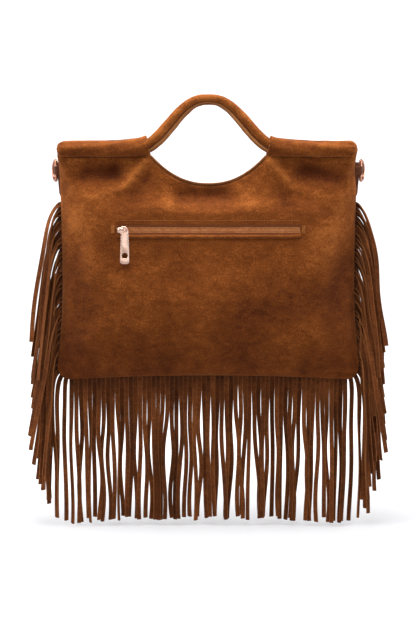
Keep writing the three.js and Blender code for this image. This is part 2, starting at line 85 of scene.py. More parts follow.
def node(material, kind, settings=None, links=None, stops=(), **values):
    """Adds a node.

    settings are its properties. links are its inputs by name or number, each a value or
    a (node, output) pair. stops are a colour ramp's places and hex values. values are its
    other inputs by name.
    """
    made = material.node_tree.nodes.new(kind)
    for key, value in (settings or {}).items():
        setattr(made, key, value)
    for key, value in values.items():
        made.inputs[key.replace("_", " ")].default_value = value
    for key, source in (links or {}).items():
        if isinstance(source, tuple):
            material.node_tree.links.new(source[0].outputs[source[1]], made.inputs[key])
        else:
            made.inputs[key].default_value = source
    if stops:
        elements = made.color_ramp.elements
        while len(elements) < len(stops):
            elements.new(0.5)
        for element, (place, hex_value) in zip(elements, stops):
            element.position = place
            element.color = colour(hex_value)
    return made


def new_material(name):
    material = bpy.data.materials.new(name)
    material.use_nodes = True
    material.node_tree.nodes.clear()
    return material


def finish_material(material, surface, bump=None):
    node(material, "ShaderNodeOutputMaterial", links={"Surface": (surface, 0)})
    if bump:
        material.node_tree.links.new(bump.outputs["Normal"], surface.inputs["Normal"])
    return material


# The colour sockets of a Mix node go by number, because its names repeat.
MIX_AMOUNT, MIX_FIRST, MIX_SECOND, MIX_OUT = 0, 6, 7, 2

# %% [markdown]
# Suede is the flesh side of a split hide, sanded to a nap of short soft fibres. Where the
# nap lies one way it looks light and where it lies the other way dark, so the surface is
# cloudy at every size: hand-wide shading, finger-wide strokes and a fine grain. It has
# hardly any gloss, and a warm sheen where it turns away from the eye. A `fold` attribute
# on each piece carries painted shade and highlight: darker in the bottoms of folds and
# grooves, towards the foot of each panel and at the fringe's roots, lighter on the crests.
# On the fringe it also holds each strand's own tone. An `edge` attribute makes rims paler:
# the cut edges of the strands, and on the neckline and the handle's lip partly wear and
# partly a painted highlight. Hairs could draw the nap one by one, but noise in the colour
# and the bump looks the same from this far and is much lighter.

# %% Suede
CLOUD = 1 / 0.060  # noise scale for shading about 60 mm across
MOTTLE = 1 / 0.016  # finger-wide strokes
BRUSH = 1 / 0.005  # marks of the brush
GRAIN = 1 / 0.0010  # the nap is finer still, and is drawn as coarse as it shows
NOISE_TURN = math.radians(14)  # keeps the noise's own grid off the panel's edges
NOISE_STRETCH = 0.62  # draws the shading out sideways


def weigh(material, middle, parts):
    """A number: middle, plus each noise's distance from its own middle times its weight."""
    total = None
    for source, output, weight in parts:
        off = node(material, "ShaderNodeMath", {"operation": "SUBTRACT"}, {0: (source, output), 1: 0.5})
        total = node(material, "ShaderNodeMath", {"operation": "MULTIPLY_ADD"},
                     {0: (off, 0), 1: weight, 2: (total, 0) if total else middle})
    return total


def make_suede(name, dark, middle, light, pale, grain_depth, nap_tint):
    material = new_material(name)
    place = node(material, "ShaderNodeTexCoord")
    turned = node(material, "ShaderNodeMapping", links={"Vector": (place, "Object")},
                  Rotation=(0, NOISE_TURN, 0), Scale=(NOISE_STRETCH, 1, 1))
    noises = {}
    for label, vector, scale, detail, distortion in (
            ("cloud", turned, CLOUD, 4, 0.4), ("mottle", turned, MOTTLE, 4, 0.9),
            ("brush", turned, BRUSH, 3, 0.6), ("grain", place, GRAIN, 3, 0.0)):
        output = "Object" if vector is place else "Vector"
        noises[label] = node(material, "ShaderNodeTexNoise", links={"Vector": (vector, output)},
                             Scale=scale, Detail=detail, Roughness=0.6, Distortion=distortion)
    # The fold attribute adds painted shade in folds and grooves and a painted highlight on their crests.
    fold = node(material, "ShaderNodeAttribute", {"attribute_name": "fold"})
    value = weigh(material, 0.5, [
        (noises["cloud"], "Fac", 0.45), (noises["mottle"], "Fac", 0.3), (noises["brush"], "Fac", 0.5),
        (noises["grain"], "Fac", 1.1), (fold, "Fac", 0.45)])
    base = node(material, "ShaderNodeValToRGB", links={"Fac": (value, 0)},
                stops=[(0.12, dark), (0.5, middle), (0.88, light)])
    # Pale rims: the strands' cut edges, and on the neckline and handle lip partly wear and partly a painted
    # highlight.
    edge = node(material, "ShaderNodeAttribute", {"attribute_name": "edge"})
    rims_worn_and_lit = node(material, "ShaderNodeMix", {"data_type": "RGBA"},
                {MIX_AMOUNT: (edge, "Fac"), MIX_FIRST: (base, 0), MIX_SECOND: colour(pale)})
    height = weigh(material, 0.5, [(noises["grain"], "Fac", 1.0), (noises["brush"], "Fac", 1.6)])
    nap = node(material, "ShaderNodeBump", links={"Height": (height, 0)},
               Strength=0.6, Distance=grain_depth)
    bump = node(material, "ShaderNodeBump",
                links={"Height": (noises["mottle"], "Fac"), "Normal": (nap, 0)},
                Strength=0.4, Distance=0.0012)
    surface = node(material, "ShaderNodeBsdfPrincipled", links={"Base Color": (rims_worn_and_lit, MIX_OUT)},
                   Roughness=0.95, Specular_IOR_Level=0.1, Sheen_Weight=0.45,
                   Sheen_Roughness=0.45, Sheen_Tint=colour(nap_tint))
    return finish_material(material, surface, bump)


suede = make_suede("cow_suede_brushed", "#431C08", "#6A3611", "#985825", "#B07A4C",
                   0.0004, "#C28254")
# The fringe is cut from the same hide as the panels, and this copy is made darker as painted shade for the
# fringe hanging under the pouch.
fringe_suede = make_suede("cow_suede_cut_strips", "#2A1307", "#512911", "#7C4622", "#9A6238",
                          0.0003, "#9C5B2D")
print("suede pattern scales", round(CLOUD), round(MOTTLE), round(BRUSH), round(GRAIN))

# %% [markdown]
# The smaller materials: dark smooth leather for the ring tabs, a plain woven lining and
# zip tape, nylon coil, three threads of polyester, polished rose gold plating over zinc,
# a darker copy of it on the rings as a painted reflection of dark surroundings, nickel
# plated steel for the snap and a plastic rod in each handle. Two functions make them all,
# because only the numbers differ: one has patches of tone over a fine bump, and the other
# has crossing threads.

# %% Other materials
def make_plain(name, dark, light, patch, roughness, grain=0.0005, depth=0.00005, **values):
    """A material whose tone drifts over patches of a real size, with a fine bump."""
    material = new_material(name)
    place = node(material, "ShaderNodeTexCoord")
    cloud = node(material, "ShaderNodeTexNoise", links={"Vector": (place, "Object")},
                 Scale=1 / patch, Detail=4, Roughness=0.6)
    tone = node(material, "ShaderNodeValToRGB", links={"Fac": (cloud, "Fac")},
                stops=[(0.35, dark), (0.65, light)])
    fine = node(material, "ShaderNodeTexNoise", links={"Vector": (place, "Object")},
                Scale=1 / grain, Detail=2)
    bump = node(material, "ShaderNodeBump", links={"Height": (fine, "Fac")},
                Strength=0.4, Distance=depth)
    surface = node(material, "ShaderNodeBsdfPrincipled", links={"Base Color": (tone, 0)},
                   Roughness=roughness, **values)
    return finish_material(material, surface, bump)


WAVE_PITCH = 6.3  # a wave texture of scale 1 repeats every 0.314 m, so this gives two threads


def make_woven(name, dark, light, thread):
    """Crossing warp and weft threads of a real width, as bands in two directions."""
    material = new_material(name)
    place = node(material, "ShaderNodeTexCoord")
    warp, weft = [node(material, "ShaderNodeTexWave", {"bands_direction": direction},
                       links={"Vector": (place, "Object")},
                       Scale=1 / (thread * WAVE_PITCH), Distortion=0.3) for direction in ("X", "Z")]
    weave = node(material, "ShaderNodeMix", {"data_type": "RGBA", "blend_type": "MULTIPLY"},
                 {MIX_AMOUNT: 1.0, MIX_FIRST: (warp, "Color"), MIX_SECOND: (weft, "Color")})
    tone = node(material, "ShaderNodeValToRGB", links={"Fac": (weave, MIX_OUT)},
                stops=[(0.0, dark), (0.7, light)])
    bump = node(material, "ShaderNodeBump", links={"Height": (weave, MIX_OUT)},
                Strength=0.5, Distance=thread * 0.3)
    surface = node(material, "ShaderNodeBsdfPrincipled", links={"Base Color": (tone, 0)},
                   Roughness=0.85, Specular_IOR_Level=0.25)
    return finish_material(material, surface, bump)


tab_leather = make_plain("calf_leather_dyed", "#4A2412", "#6A3A20", 0.006, 0.6, 0.0009, 0.0001,
                         Specular_IOR_Level=0.25)
cut_edge = make_plain("suede_cut_edge", "#5A3018", "#80502E", 0.004, 0.95)
lining_cloth = make_woven("cotton_lining_woven", "#4A3020", "#7A5638", 0.0006)
tape_cloth = make_woven("polyester_tape_woven", "#7A4224", "#A8643A", 0.0007)
nylon = make_plain("nylon_coil_moulded", "#AE683A", "#C88450", 0.004, 0.6, Specular_IOR_Level=0.15)
thread_golden, thread_brown, thread_dark = [
    make_plain(f"polyester_thread_{name}", dark, light, 0.0008, 0.7, 0.0003, 0.0001,
               Specular_IOR_Level=0.1)
    for name, dark, light in (("golden", "#8A4E1E", "#AE7036"), ("brown", "#6A3A18", "#945A2A"),
                              ("dark", "#2A1408", "#46240F"))]
rose_gold = make_plain("zinc_rose_gold_plated", "#E8BCA6", "#F4D2C0", 0.01, 0.2,
                       0.0008, 0.00001, Metallic=1)
# The rings' rose gold, darkened as a painted reflection of dark surroundings.
rose_gold_shaded = make_plain("zinc_rose_gold_plated_shaded", "#8C5A46", "#B07A62", 0.004, 0.24,
                          0.0008, 0.00001, Metallic=1)
steel = make_plain("steel_nickel_plated", "#A8A49E", "#C8C4BE", 0.01, 0.28, Metallic=1)
rod_plastic = make_plain("polyethylene_rod_extruded", "#1E1E1E", "#2E2E2E", 0.01, 0.5)
print("materials", len(bpy.data.materials))

# %% [markdown]
# A soft piece starts as a flat grid, like suede cut to size, and a function bends it onto
# its place. It could be sculpted instead, but a function gives the same shape each time.
# The grid's own two directions arrive as numbers from 0 to 1.

# %% Helpers for meshes
def points_of(piece):
    flat = np.empty(len(piece.data.vertices) * 3)
    piece.data.vertices.foreach_get("co", flat)
    return flat.reshape(-1, 3)


def move_points(piece, points):
    piece.data.vertices.foreach_set("co", np.asarray(points, float).ravel())
    piece.data.update()


def only(piece):
    bpy.ops.object.select_all(action="DESELECT")
    piece.select_set(True)
    bpy.context.view_layer.objects.active = piece


def cut_sheet(name, across, along, bend):
    bpy.ops.object.select_all(action="DESELECT")
    bpy.ops.mesh.primitive_grid_add(x_subdivisions=across, y_subdivisions=along, size=2)
    piece = bpy.context.object
    piece.name = piece.data.name = name
    u, v = ((points_of(piece)[:, axis] + 1) / 2 for axis in (0, 1))
    move_points(piece, np.stack(bend(u, v), axis=1))
    return piece


def weld(piece, distance=0.00002):
    only(piece)
    bpy.ops.object.mode_set(mode="EDIT")
    bpy.ops.mesh.select_all(action="SELECT")
    bpy.ops.mesh.remove_doubles(threshold=distance)
    bpy.ops.object.mode_set(mode="OBJECT")


def face_outwards(piece):
    only(piece)
    bpy.ops.object.mode_set(mode="EDIT")
    bpy.ops.mesh.select_all(action="SELECT")
    bpy.ops.mesh.normals_make_consistent(inside=False)
    bpy.ops.object.mode_set(mode="OBJECT")


def modify(piece, kind, **settings):
    only(piece)
    modifier = piece.modifiers.new(kind.lower(), kind)
    for key, value in settings.items():
        setattr(modifier, key, value)
    bpy.ops.object.modifier_apply(modifier=modifier.name)


def thicken(piece, thickness, rounding=0.0):
    """Gives a sheet its thickness behind its face, and rounds its cut edges."""
    modify(piece, "SOLIDIFY", thickness=thickness, offset=-1)
    if rounding:
        modify(piece, "BEVEL", width=rounding, segments=2, limit_method="ANGLE",
               angle_limit=math.radians(55))


def note(piece, name, values):
    attribute = piece.data.attributes.get(name) or piece.data.attributes.new(name, "FLOAT", "POINT")
    attribute.data.foreach_set("value", np.asarray(values, np.float32))


def repaint(name, material):
    """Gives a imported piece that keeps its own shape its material."""
    nodes[name].data.materials.clear()
    nodes[name].data.materials.append(material)


def join(pieces, name):
    only(pieces[0])
    for piece in pieces[1:]:
        piece.select_set(True)
    bpy.ops.object.join()
    pieces[0].name = pieces[0].data.name = name
    return pieces[0]


def dress(piece, body, materials, replaces=()):
    """Smooths a finished piece and says what it is, what it rides on and what it stands for."""
    only(piece)
    bpy.ops.object.shade_smooth_by_angle(angle=math.radians(50))
    piece.data.materials.clear()
    for material in materials if isinstance(materials, list) else [materials]:
        piece.data.materials.append(material)
    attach(piece, body)
    if replaces:
        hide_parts(*replaces)
    print(piece.name, len(piece.data.vertices), "points")
    return piece


# %% [markdown]
# The pouch has no gusset: two panels meet in a seam at the sides and the bottom, and the
# contents and the hide's own body make a pillow of them. The outline pulls in at the
# waist, and the panel hangs from the sleeves at the shoulders. A cloth simulation could
# fill the pouch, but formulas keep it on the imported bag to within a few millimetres. The
# foot and the belly come from the frame, and the rest are driving dimensions.

# %% Pouch shape
panel_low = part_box("back_panel")[0]
WAIST_HALF, WAIST_Z = 0.1598, -0.188
TOP_FLARE, FOOT_FLARE = 0.0034, 0.0062
SHOULDER_Z = -0.0555
FOOT_DROP, CORNER = 0.0042, 0.013
FOOT_Z = panel_low.z + FOOT_DROP
NECK_HALF, NECK_DROP = 0.063, 0.0315
SEAM, BELLY = 0.0025, -panel_low.y
SHOULDER, NECK = 0.0158, 0.0110
SUEDE_THICK = 0.0016
ZIP_Z, ZIP_DEPTH = -0.1372, 0.026
WINDOW_HALF, WINDOW_TOP, WINDOW_BOTTOM = 0.0995, -0.1316, -0.146  # the slot for the zip
LEVEL_Z = -0.1215  # rows of the grid are level below this height
FLARE_FOOT_Z, DROP_HALF = -0.285, 0.15  # where the foot's flare and its drop are full
FLAT_HALF, FLAT_TOP, FLAT_FOOT = 0.141, -0.099, -0.216  # the zip holds the hide flat in here


def smooth(t):
    t = np.clip(t, 0, 1)
    return t * t * (3 - 2 * t)


def half_width(z):
    above = TOP_FLARE * ((z - WAIST_Z) / (SHOULDER_Z - WAIST_Z)) ** 2
    below = FOOT_FLARE * np.minimum(1, ((WAIST_Z - z) / (WAIST_Z - FLARE_FOOT_Z)) ** 2)
    return WAIST_HALF + np.where(z > WAIST_Z, above, below)


def bottom_edge(x):
    side = half_width(FOOT_Z)
    dropped = FOOT_Z - FOOT_DROP * np.minimum(1, np.abs(x) / DROP_HALF) ** 2
    into = np.clip((np.abs(x) - (side - CORNER)) / CORNER, 0, 1)
    return dropped + CORNER * (1 - np.sqrt(1 - into * into))


def top_edge(x):
    across = np.minimum(1, np.abs(x) / NECK_HALF)
    return SHOULDER_Z - NECK_DROP * (1 - across ** 2.2)


def depth(x, z):
    """Distance from the seam plane to the outside of a smooth panel."""
    across = np.clip(np.abs(x) / half_width(z), 0, 1)
    low = bottom_edge(x)
    up = np.clip((z - low) / (top_edge(x) - low), 0, 1)
    crown = (1 - across ** 5) ** 0.7
    rise = (1 - (1 - np.minimum(1, up / 0.5)) ** 3) ** 0.75
    belly = SEAM + (BELLY - SEAM) * crown * rise
    top = NECK + (SHOULDER - NECK) * np.minimum(1, np.abs(x) / NECK_HALF) ** 1.5
    start = 0.55 + 0.38 * across ** 4
    share = smooth((up - start) / (1 - start))
    draped = belly * (1 - share) + top * share
    beside = smooth((FLAT_HALF - np.abs(x)) / 0.034)
    around = smooth((FLAT_TOP - z) / 0.022) * smooth((z - FLAT_FOOT) / 0.05)
    return draped + (ZIP_DEPTH - draped) * beside * around


print("foot at", round(float(bottom_edge(0)), 4), "neckline at", round(float(top_edge(0)), 4))


# %% [markdown]
# Suede hung by its shoulders is never flat. Soft folds run down and outward from the
# corners of the neckline, the hide dips under the middle of the neckline, and shallow
# dents lie all over. The seams gather it in short puckers. Sculpting would do as well,
# but here each fold is a long low ridge with a soft cross section, so that it can be
# moved by changing its two ends.

# %% Folds
def ridge(x, z, start, end, wide, high):
    """A soft ridge, or a valley where high is negative, from start to end."""
    (ax, az), (bx, bz) = start, end
    dx, dz = bx - ax, bz - az
    length = math.hypot(dx, dz)
    along = ((x - ax) * dx + (z - az) * dz) / length ** 2
    off = ((x - ax) * dz - (z - az) * dx) / length
    ends = smooth(along / 0.25 + 0.4) * smooth((1.25 - along) / 0.6)
    return high * np.exp(-(off / wide) ** 2) * ends


def waves(x, z, size, seed):
    """A cheap smooth noise between about -1 and 1, from a few sine waves."""
    chance = np.random.default_rng(seed)
    total = np.zeros_like(x)
    for _ in range(9):
        angle, phase = chance.uniform(0, 2 * math.pi, 2)
        pitch = size * chance.uniform(0.6, 1.6)
        total += np.sin((x * math.cos(angle) + z * math.sin(angle)) * 2 * math.pi / pitch + phase)
    return total / 4.2


FOLDS = [  # start, end, width, height, for the left half; the right half mirrors them
    ((-0.065, -0.060), (-0.092, -0.094), 0.0055, 0.0032),
    ((-0.090, -0.090), (-0.132, -0.104), 0.0060, 0.0016),
    ((-0.094, -0.074), (-0.148, -0.080), 0.0095, -0.0048),
    ((-0.062, -0.078), (-0.088, -0.112), 0.0080, -0.0020),
    ((-0.026, -0.092), (-0.052, -0.116), 0.0085, 0.0014),
    ((-0.150, -0.110), (-0.118, -0.190), 0.0120, 0.0014),
    ((-0.152, -0.150), (-0.130, -0.235), 0.0130, -0.0016),
    ((-0.140, -0.262), (-0.095, -0.232), 0.0120, 0.0014),
]
MIDDLE_FOLDS = [  # the same, across the middle and on one side only
    ((-0.040, -0.099), (0.030, -0.101), 0.010, -0.0036),
    ((0.012, -0.118), (0.052, -0.114), 0.010, 0.0006),
]
HAND_DENT, FINGER_DENT, RIPPLE = 0.0009, 0.0005, 0.00018
PUCKER, HEM_STEP, NECK_GROOVE = 0.0013, 0.0007, 0.0009
ZIP_CALM = 0.94  # the share of every fold that the zip's facing takes away
SLEEVE_HEM_Z = -0.0665  # the panel is double down to here below the sleeve's stitching
NECK_SEAM = 0.0026  # the neckline is turned in and stitched this far below its edge


def folds(x, z, seed):
    mirror = np.abs(x)
    tilt = 1 - 0.1 * np.sign(x) * (1 if seed % 2 else -1)  # one side is a little deeper
    total = np.zeros_like(x)
    for start, end, wide, high in FOLDS:
        total += tilt * ridge(-mirror, z, start, end, wide, high)
    for start, end, wide, high in MIDDLE_FOLDS:
        total += ridge(x, z, start, end, wide, high)
    total += HAND_DENT * waves(x, z, 0.085, seed) + FINGER_DENT * waves(x, z, 0.03, seed + 7)
    total += RIPPLE * waves(x, z, 0.011, seed + 11)
    total += HEM_STEP * smooth((z - SLEEVE_HEM_Z) / 0.0022) * smooth((mirror - NECK_HALF) / 0.004)
    below_neck = (top_edge(x) - z) / np.hypot(1, 1.1 * mirror / NECK_HALF)
    total -= NECK_GROOVE * np.exp(-((below_neck - NECK_SEAM) / 0.0011) ** 2) * (mirror < NECK_HALF)
    low = bottom_edge(x)
    to_seam = np.minimum(half_width(z) - np.abs(x), z - low)
    pucker = np.exp(-to_seam / 0.010) * (1 - np.exp(-to_seam / 0.003))
    total += PUCKER * pucker * waves(x, z, 0.017, seed + 3)
    beside = smooth((WINDOW_HALF + 0.022 - np.abs(x)) / 0.02)
    around = smooth((0.026 - np.abs(z - ZIP_Z - 0.0016)) / 0.016)
    near_edges = smooth(to_seam / 0.004)
    return total * (1 - ZIP_CALM * beside * around) * near_edges


print("folds on each panel", 2 * len(FOLDS) + len(MIDDLE_FOLDS))

# %% [markdown]
# Each panel is a grid of 2 mm squares. Its rows are spaced so that one lies on the top
# edge of the zip window and one on its bottom edge, and two columns on its ends, so the
# window is cut by deleting whole squares. A Boolean cut would leave long thin faces along
# its rim, which shade badly. The lower half is painted darker, as painted shade where the
# panel turns away from the light above.

# %% Panels
COLUMNS = 176
ROWS = 132
ROW_KNOTS = [0, 70 / ROWS, 78 / ROWS, 84 / ROWS, 1]  # foot, window, window, level line, top
COLUMN_KNOTS = [0, 34 / COLUMNS, 142 / COLUMNS, 1]  # side seam, window, window, side seam
# The fold attribute is painted shade in the folds and painted highlight on their crests, and SHADE is
# painted shade towards the foot.
FOLD_HEIGHT = 0.006  # from bottom to crest, for the whole range of tone
SHADE, SHADE_FROM, SHADE_TALL = 0.3, -0.125, 0.13
RIM_PALE, RIM_WIDE = 0.55, 0.0014


def panel_place(side, u, v, inward=0.0, seed=1, spread=1.0):
    """Places grid points on a panel. u runs left to right as seen from outside, v upwards."""
    stop = WINDOW_HALF / half_width(ZIP_Z)
    across = np.interp(u, COLUMN_KNOTS, [-1, -stop, stop, 1]) * spread
    x = across * WAIST_HALF
    for _ in range(3):
        low, high = bottom_edge(x), top_edge(x)
        z = np.where(v < ROW_KNOTS[1], low + (WINDOW_BOTTOM - low) * v / ROW_KNOTS[1],
                     np.interp(v, ROW_KNOTS[1:4], [WINDOW_BOTTOM, WINDOW_TOP, LEVEL_Z]))
        upper = (v - ROW_KNOTS[3]) / (1 - ROW_KNOTS[3])
        z = np.where(v > ROW_KNOTS[3], LEVEL_Z + (high - LEVEL_Z) * upper, z)
        x = across * half_width(z)
    window_level = (v > ROW_KNOTS[1] - 0.02) & (v < ROW_KNOTS[2] + 0.02)
    x = np.where(window_level, across * half_width(ZIP_Z), x)
    fold = folds(x, z, seed)
    y = side * (depth(x, z) + fold - inward)
    x = x * -side
    drawn_in = (0.0033 if side < 0 else 0.0012) * smooth((z + 0.100) / 0.035)
    return x - drawn_in * smooth((x - 0.11) / 0.045), y, z, fold


def make_panel(name, side, seed):
    kept = {}

    def bend(u, v):
        x, y, z, kept["fold"] = panel_place(side, u, v, seed=seed)
        return x, y, z

    piece = cut_sheet(name, COLUMNS, ROWS, bend)
    # Painted shade: the lower half is darker, where it turns away from the light above.
    painted_shade_low = SHADE * smooth((SHADE_FROM - points_of(piece)[:, 2]) / SHADE_TALL)
    note(piece, "fold", np.clip(0.5 + kept["fold"] / FOLD_HEIGHT - painted_shade_low, -0.3, 1))
    return piece


def cut_window(piece):
    only(piece)
    bpy.ops.object.mode_set(mode="EDIT")
    bpy.ops.mesh.select_all(action="DESELECT")
    bpy.ops.object.mode_set(mode="OBJECT")
    for face in piece.data.polygons:
        x, _, z = face.center
        face.select = abs(x) < WINDOW_HALF and WINDOW_BOTTOM < z < WINDOW_TOP
    bpy.ops.object.mode_set(mode="EDIT")
    bpy.ops.mesh.select_mode(type="FACE")
    bpy.ops.mesh.delete(type="FACE")
    bpy.ops.object.mode_set(mode="OBJECT")


def mark_edges(piece):
    """Marks the turned rim of the neckline, paler partly from handling and partly as a painted highlight
    where the rim catches the light.
    """
    p = points_of(piece)
    neck = np.where(np.abs(p[:, 0]) < NECK_HALF, top_edge(p[:, 0]) - p[:, 2], 1)
    note(piece, "edge", RIM_PALE * np.exp(-np.clip(neck, 0, 1) / RIM_WIDE))


back = make_panel("back_panel_suede", -1, seed=1)
cut_window(back)
front = make_panel("front_panel_suede", 1, seed=4)
for panel in (back, front):
    thicken(panel, SUEDE_THICK, rounding=0.0005)
    mark_edges(panel)
dress(back, "bag", suede, ["back_panel"])
dress(front, "bag", suede, ["front_panel"])

# %% [markdown]
# The lining is a second bag inside the first. It follows the panel a few millimetres
# in, further in where the pocket bag hangs between the two, and stops below the hem. The
# panel's own function places it too, which keeps the two apart in every fold, and it has
# fewer squares because it hardly shows.

# %% Linings
LINING_GAP, POCKET_GAP = 0.0021, 0.0053
LINING_SPREAD = 0.955  # its width beside the panel's
LINING_COLUMNS, LINING_ROWS = 88, 66


def lining_offset(x, z):
    beside = smooth((0.14 - np.abs(x)) / 0.04)
    over_pocket = beside * smooth((z + 0.285) / 0.03) * smooth((-0.092 - z) / 0.02)
    return LINING_GAP + POCKET_GAP * over_pocket


def make_lining(name, side, seed):
    def bend(u, v):
        low_part, top_part = 0.03, 0.9
        v = low_part + (top_part - low_part) * v
        x, _, z, _ = panel_place(side, u, v, spread=LINING_SPREAD)
        inward = lining_offset(x, z)
        _, y, _, _ = panel_place(side, u, v, inward=inward, seed=seed, spread=LINING_SPREAD)
        return x, y, z

    piece = cut_sheet(name, LINING_COLUMNS, LINING_ROWS, bend)
    thicken(piece, 0.0006)
    return piece


for name, side, seed in (("back", -1, 1), ("front", 1, 4)):
    lining = make_lining(f"{name}_lining_cloth", side, seed)
    dress(lining, "bag", lining_cloth, [f"{name}_lining"])

# %% [markdown]
# The top of each panel is folded over the handle rod and stitched, which makes a sleeve on
# each side of the neckline. A rolled grid gives the tube. It flares at its mouth, where
# the handle's cover pushes it open, and is gathered to a blunt round end outside. A
# circle swept along a line would be quicker, but too even for soft hide. The four
# corners of the bag differ by a few millimetres, as they do on one sewn by hand.

# %% Sleeves
SLEEVE_RADIUS, SLEEVE_Z, SLEEVE_Y = 0.0090, -0.0488, 0.015
SLEEVE_INNER = 0.0656
SLEEVE_ENDS = {(-1, -1): 0.1641, (-1, 1): 0.1603, (1, -1): 0.1650, (1, 1): 0.1630}
MOUTH_REACH, END_ROUND = 0.013, 0.007
MOUTH_WIDER, END_NARROWER = 0.0012, 0.0007


def make_sleeve(name, side, end, seed):
    kept = {}
    outer = SLEEVE_ENDS[side, end]

    def bend(u, v):
        x = SLEEVE_INNER + (outer - SLEEVE_INNER) * v
        flare = np.exp(-(x - SLEEVE_INNER) / MOUTH_REACH)
        closing = np.clip((x - (outer - END_ROUND)) / END_ROUND, 0, 1)
        wide = SLEEVE_RADIUS + MOUTH_WIDER * flare - END_NARROWER * smooth(v)
        radius = wide * np.sqrt(1 - closing ** 2)
        angle = 2 * math.pi * u * side * end
        wave = waves(x, u * 0.06, 0.022, seed) * 0.0003 + waves(x, u * 0.06, 0.05, seed + 1) * 0.0005
        lengthwise = 0.0003 * np.sin(angle * 5 + x * 60)
        gather = 0.0004 * np.sin(angle * 9) * smooth((x - outer + 0.016) / 0.012)
        radius = radius + (wave + lengthwise + gather) * (1 - closing)
        # Painted shade in the dips of the sleeve's ripples and painted highlight on their crests.
        kept["fold"] = (wave + lengthwise + gather) / 0.003 + 0.5
        up, out = radius * np.cos(angle), radius * np.sin(angle)
        slant = 0.0022 * flare * np.cos(angle)
        sag = -0.0015 * smooth(v * 1.8)
        return end * (x + slant), side * SLEEVE_Y + out, SLEEVE_Z + 0.0028 * flare + sag + up

    piece = cut_sheet(name, 48, 84, bend)
    note(piece, "fold", np.clip(kept["fold"], 0, 1))
    weld(piece)
    thicken(piece, 0.0014, rounding=0.0004)
    return piece


for name, side in (("back", -1), ("front", 1)):
    for place, end in (("left", -1), ("right", 1)):
        sleeve = make_sleeve(f"{name}_{place}_sleeve", side, end, seed=20 + side + 3 * end)
        dress(sleeve, "bag", suede, [f"{name}_panel"])

# %% [markdown]
# Each handle is a bent rod in a strip of suede. The strip's two edges are stitched
# together along the inside of the bend, where they stand out as a narrow lip. A round
# tube along a curve would have no lip, so the cover is a rolled grid whose squares are
# finest there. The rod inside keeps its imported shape.

# %% Handles
HANDLE_TOP, HANDLE_DROP, HANDLE_HALF = 0.0043, 0.0517, 0.076
HANDLE_POWER = 1.28  # over 1 makes the crown of the bend broader
COVER_END = 0.074
COVER_THIN, COVER_SWELL = 0.0042, 0.0009  # the cover is fuller towards the sleeves
LIP_THIN, LIP_SWELL = 0.0013, 0.0021


def handle_line(x):
    """Height and slope of the rod's centre line."""
    def height(at):
        return HANDLE_TOP - HANDLE_DROP * ((1 - np.cos(math.pi * at / HANDLE_HALF)) / 2) ** HANDLE_POWER

    step = 0.0001
    return height(x), (height(x + step) - height(x - step)) / (2 * step)


def make_cover(name, side, seed):
    kept = {}

    def bend(u, v):
        x = COVER_END * (2 * v - 1)
        z, slope = handle_line(x)
        tilt = np.arctan(slope)
        off = 2 * u - 1
        angle = math.pi * (1 + off * (0.45 + 0.55 * np.abs(off)))  # finest at the lip
        from_seam = np.abs(angle - math.pi)
        aside = smooth(np.abs(x) / 0.045)
        lip = (LIP_THIN + LIP_SWELL * aside) * np.exp(-(from_seam / 0.2) ** 4)
        crease = 0.0008 * np.exp(-((from_seam - 0.42) / 0.12) ** 2)
        wave = 0.00022 * waves(x, u * 0.03, 0.012, seed) + 0.0002 * waves(x, u * 0.03, 0.03, seed + 1)
        radius = COVER_THIN + COVER_SWELL * aside + lip - crease + wave
        # Painted shade in the groove beside the lip and along the ripples' dips; the lip is pale partly as
        # its cut edges and partly as a painted highlight.
        kept["fold"] = 0.7 + wave / 0.0012 - 0.9 * np.exp(-((from_seam - 0.36) / 0.17) ** 2)
        kept["edge"] = 0.8 * np.exp(-((from_seam - 0.17) / 0.06) ** 2)
        outward, across = radius * np.cos(angle), radius * np.sin(angle)
        return (x - outward * np.sin(tilt), side * SLEEVE_Y - across, z + outward * np.cos(tilt))

    piece = cut_sheet(name, 56, 150, bend)
    note(piece, "fold", np.clip(kept["fold"], 0, 1))
    note(piece, "edge", kept["edge"])
    weld(piece)
    thicken(piece, 0.0007)
    return piece


for name, side in (("back", -1), ("front", 1)):
    cover = make_cover(f"{name}_handle_suede", side, seed=30 + side)
    dress(cover, "bag", suede, [f"{name}_handle_cover"])
    repaint(f"{name}_handle_rod", rod_plastic)

# %% [markdown]
# The fringe is cut from the edge of a flat strip of suede, caught between the panels in
# the seam. A strand keeps its length, leaves the seam in the strip's own plane and turns
# down under its weight. Every strand turns a little about its own length and differs in
# tone from the next, and its cut edges are paler than its faces. Cloth could be left to
# fall by simulation, but a bent grid for each strand hangs the same way each run.

# %% Strands
STRAND_WIDE, STRAND_THICK = 0.0051, 0.0012
STRAND_STEPS = 36
STRAND_COLUMNS = [0, 0.09, 0.5, 0.91, 1]  # the outer two make the pale rims
LEAN_LENGTH = 0.045  # the lean just after the turn fades over this length
FULL_TURN = 6.28
chance = np.random.default_rng(11)


